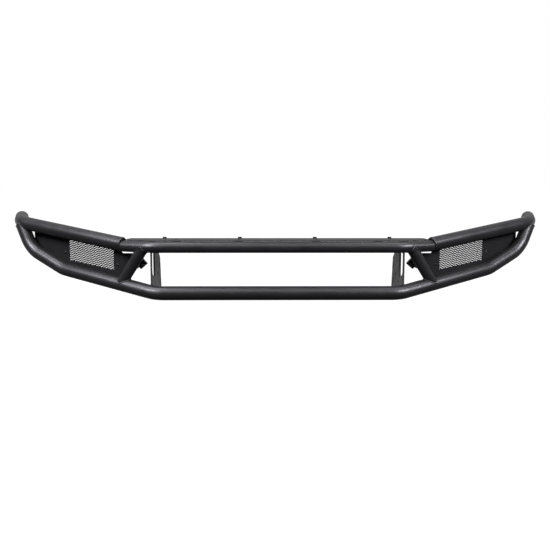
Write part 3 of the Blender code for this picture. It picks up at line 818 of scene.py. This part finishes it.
def build_wing_fasteners():
    for side, word in SIDES:
        rearward = mirrored([WING_REARWARD], side)[0]
        for i in range(1, 5):
            add_fastener(f"mesh_screw_{word}_{i}", -rearward, button_head)
            add_fastener(f"mesh_nut_{word}_{i}", rearward, hex_nut)
        to_head = centre_of("side_bolt_" + word) - centre_of("side_bolt_nut_" + word)
        to_head.y = 0
        to_head.normalize()
        add_fastener("side_bolt_" + word, to_head, hex_bolt)
        add_fastener("side_bolt_washer_" + word, to_head, flat_washer)
        add_fastener("side_bolt_nut_" + word, -to_head, hex_nut)


# ---------------------------------------------------------------- wing panels and screens
def width_of(face):
    """How wide a face is across its longest edge."""
    return face.calc_area() / max(edge.calc_length() for edge in face.edges)


def edges_over(bm, angle):
    """The edges whose two faces meet at more than the angle."""
    return [e for e in bm.edges if len(e.link_faces) == 2 and e.calc_face_angle() > angle]


def bevel(bm, edges, width, segments):
    bmesh.ops.bevel(bm, geom=edges, offset=width, segments=segments, profile=0.5, affect="EDGES",
                    clamp_overlap=True)


def build_panels():
    """The CAD sheet with rounded folds and eased edges."""
    for _, word in SIDES:
        node = "wing_panel_" + word
        bm = bmesh.new()
        bm.from_mesh(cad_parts[node].data)
        bmesh.ops.remove_doubles(bm, verts=bm.verts, dist=SAME_CORNER)
        bmesh.ops.dissolve_limit(bm, angle_limit=FLAT_ANGLE, verts=bm.verts, edges=bm.edges)
        folds = [e for e in edges_over(bm, FOLD_ANGLE) if min(width_of(f) for f in e.link_faces) > FOLD_WIDTH]
        bevel(bm, folds, FOLD_BEVEL, segments=4)
        bevel(bm, edges_over(bm, EDGE_ANGLE), PANEL_BEVEL, segments=2)
        add_piece("fine_" + node, bm, PANEL_BLACK, node, weighted=True)


def zigzag(turn):
    """A wave whose slopes are straight and whose tops are flat, where the strands are bonded."""
    return max(-1.0, min(1.0, BOND_SLOPE * math.asin(math.sin(turn)) * 2 / math.pi))


def span_at(outline, z):
    """The lowest and highest x of the outline at that height."""
    crossings = []
    for (x1, z1), (x2, z2) in zip(outline, outline[1:] + outline[:1]):
        if min(z1, z2) <= z < max(z1, z2):
            crossings.append(x1 + (x2 - x1) * (z - z1) / (z2 - z1))
    return min(crossings), max(crossings)


def build_screens():
    """Expanded metal: tilted strands that zigzag and meet their neighbours at the bonds."""
    seat = PANEL_THICK / 2 + TOUCHING + SCREEN_THICK / 2
    step_x = MESH_LONG * math.cos(SWEEP)
    row_step = MESH_SHORT / 2
    swing = (row_step - STRAND_WIDTH) / 2
    levelled = [(x, z + MESH_RISE * (x - SCREEN[0][0])) for x, z in SCREEN]
    low_z = min(z for x, z in levelled)
    high_z = max(z for x, z in levelled)
    section = []
    for up, back in ((1, -1), (1, 1), (-1, 1), (-1, -1)):
        half_up = up * STRAND_WIDTH / 2
        half_back = back * STRAND_THICK / 2
        section.append((half_up * math.cos(STRAND_TILT) - half_back * math.sin(STRAND_TILT),
                        half_up * math.sin(STRAND_TILT) + half_back * math.cos(STRAND_TILT)))
    for side, word in SIDES:
        bm = bmesh.new()
        for row in range(int((high_z - low_z) / row_step)):
            z = low_z + (row + 0.5) * row_step
            span = span_at(levelled, z)
            rings = []
            count = math.ceil((span[1] - span[0]) / step_x * STRAND_SAMPLES)
            for i in range(count + 1):
                x = span[0] + (span[1] - span[0]) * i / count
                turn = 2 * math.pi * (x - SCREEN[0][0] - MESH_LEAN * (z - low_z)) / step_x + math.pi * row
                height = z - MESH_RISE * (x - SCREEN[0][0]) + swing * zigzag(turn)
                middle = on_wing(x, height, PANEL_BACK) + WING_REARWARD * seat
                corners = [middle + UP * up + WING_REARWARD * back for up, back in section]
                rings.append([bm.verts.new(p) for p in mirrored(corners, side)])
            for first, second in zip(rings, rings[1:]):
                join_rings(bm, first, second)
            bm.faces.new(rings[0])
            bm.faces.new(rings[-1])
        add_piece("fine_mesh_screen_" + word, bm, MESH_BLACK, "mesh_screen_" + word)


# ---------------------------------------------------------------- studio
CAMERA_DISTANCE = 2.709         # from the lower tube's axis
CAMERA_HEIGHT = 0.39
CAMERA_AZIMUTH = 0.019
CAMERA_PITCH = math.radians(6.835)
CAMERA_ROLL = 0.001
CAMERA_YAW = 0.0038             # the aim is this far off the middle

LIGHT_AIM = Vector((0, 0, 0.15))
NEUTRAL = (1.0, 1.0, 1.0)
COOL = (0.93, 0.915, 1.0)

# surroundings: (height of the direction from 0 straight down to 1 straight up, brightness)
FRONT_LEVELS = [(0.25, 0.05), (0.52, 0.02), (0.75, 0.10), (1.0, 0.30)]
REAR_LEVELS = [(0.30, 0.10), (0.38, 1.0), (0.47, 1.0), (0.58, 0.45), (0.85, 0.70), (1.0, 0.30)]
REAR_START = -0.1               # rearward part of the direction where the rear levels begin
REAR_FULL = 0.5

FLOOR_REACH = 30.0
FLOOR_LEVEL = -0.0002           # just below the lowest point
FLOOR_GREY = 0.05
FLOOR_GLOW = 0.98               # with the lights' share it comes to the white of the surroundings


def build_camera():
    data = bpy.data.cameras.new("photo_camera")
    data.lens = 50
    data.sensor_width = 36
    camera = bpy.data.objects.new("photo_camera", data)
    bpy.context.scene.collection.objects.link(camera)
    camera.location = DATUM + Vector((-CAMERA_DISTANCE * math.sin(CAMERA_AZIMUTH),
                                      -CAMERA_DISTANCE * math.cos(CAMERA_AZIMUTH), CAMERA_HEIGHT))
    camera.rotation_euler = (math.pi / 2 - CAMERA_PITCH, -CAMERA_ROLL, CAMERA_YAW - CAMERA_AZIMUTH)
    bpy.context.scene.camera = camera


def add_light(name, azimuth, elevation, distance, width, height, watts, colour):
    """A softbox aimed at the guard. Azimuth 0 is the front and 90 the right."""
    data = bpy.data.lights.new(name, "AREA")
    data.shape = "RECTANGLE"
    data.size = width
    data.size_y = height
    data.energy = watts
    data.color = colour
    light = bpy.data.objects.new(name, data)
    bpy.context.scene.collection.objects.link(light)
    a = math.radians(azimuth)
    e = math.radians(elevation)
    towards = Vector((math.sin(a) * math.cos(e), -math.cos(a) * math.cos(e), math.sin(e)))
    light.location = LIGHT_AIM + towards * distance
    light.rotation_euler = towards.to_track_quat("Z", "Y").to_euler()
    light.visible_camera = False


def ramp_node(tree, value, stops):
    """A grey that follows the (position, level) stops."""
    node = tree.nodes.new("ShaderNodeValToRGB")
    ramp = node.color_ramp
    while len(ramp.elements) < len(stops):
        ramp.elements.new(0.5)
    for element, (position, level) in zip(ramp.elements, stops):
        element.position = position
        element.color = (level, level, level, 1)
    tree.links.new(value, node.inputs["Fac"])
    return node.outputs["Color"]


def build_world():
    """Studio surroundings: pale behind the guard, dark in front and below, white to the camera."""
    world = bpy.data.worlds.new("studio")
    bpy.context.scene.world = world
    world.use_nodes = True
    tree = world.node_tree
    split = tree.nodes.new("ShaderNodeSeparateXYZ")
    tree.links.new(tree.nodes.new("ShaderNodeTexCoord").outputs["Generated"], split.inputs[0])
    height = mapped(tree, split.outputs["Z"], -1, 1)
    front = ramp_node(tree, height, FRONT_LEVELS)
    behind = ramp_node(tree, height, REAR_LEVELS)
    sides = tree.nodes.new("ShaderNodeMix")
    sides.data_type = "RGBA"
    tree.links.new(mapped(tree, split.outputs["Y"], REAR_START, REAR_FULL), sides.inputs["Factor"])
    tree.links.new(front, sides.inputs["A"])
    tree.links.new(behind, sides.inputs["B"])
    ambient = tree.nodes["Background"]
    tree.links.new(sides.outputs["Result"], ambient.inputs["Color"])
    white = tree.nodes.new("ShaderNodeBackground")
    white.inputs["Color"].default_value = (1, 1, 1, 1)
    rays = tree.nodes.new("ShaderNodeLightPath")
    mix = tree.nodes.new("ShaderNodeMixShader")
    tree.links.new(rays.outputs["Is Camera Ray"], mix.inputs["Fac"])
    tree.links.new(ambient.outputs[0], mix.inputs[1])
    tree.links.new(white.outputs[0], mix.inputs[2])
    tree.links.new(mix.outputs[0], tree.nodes["World Output"].inputs["Surface"])


def build_floor():
    """A floor that lights nothing, as white as the surroundings, for the guard's shadow."""
    bm = bmesh.new()
    for x, y in ((-1, -1), (1, -1), (1, 1), (-1, 1)):
        bm.verts.new((x * FLOOR_REACH, y * FLOOR_REACH, FLOOR_LEVEL))
    bm.faces.new(bm.verts)
    mesh = bpy.data.meshes.new("floor")
    bm.to_mesh(mesh)
    bm.free()
    material = bpy.data.materials.new("pale_floor")
    material.use_nodes = True
    shader = material.node_tree.nodes["Principled BSDF"]
    shader.inputs["Base Color"].default_value = (FLOOR_GREY, FLOOR_GREY, FLOOR_GREY, 1)
    shader.inputs["Roughness"].default_value = 0.9
    shader.inputs["Emission Color"].default_value = (1, 1, 1, 1)
    shader.inputs["Emission Strength"].default_value = FLOOR_GLOW
    mesh.materials.append(material)
    floor = bpy.data.objects.new("floor", mesh)
    bpy.context.scene.collection.objects.link(floor)
    floor.visible_diffuse = False
    floor.visible_glossy = False


LOWER_PATH, CENTRE_PATH = build_tubes()
build_brackets(LOWER_PATH, CENTRE_PATH)
build_valance()
build_panels()
build_screens()
build_wing_fasteners()
build_camera()
build_world()
build_floor()
# azimuth and elevation in degrees, distance, width, height, watts
add_light("front_softbox", 0, 44, 3.2, 2.0, 0.7, 16, NEUTRAL)
add_light("left_softbox", -50, 31, 2.7, 1.0, 0.8, 98, COOL)
add_light("right_softbox", 50, 24, 2.7, 1.0, 0.8, 84, COOL)
add_light("left_top", -66, 64, 2.8, 1.2, 1.2, 46, COOL)
add_light("right_top", 66, 64, 2.8, 1.2, 1.2, 24, COOL)
bpy.context.scene.view_settings.view_transform = "Standard"

bpy.context.view_layer.update()
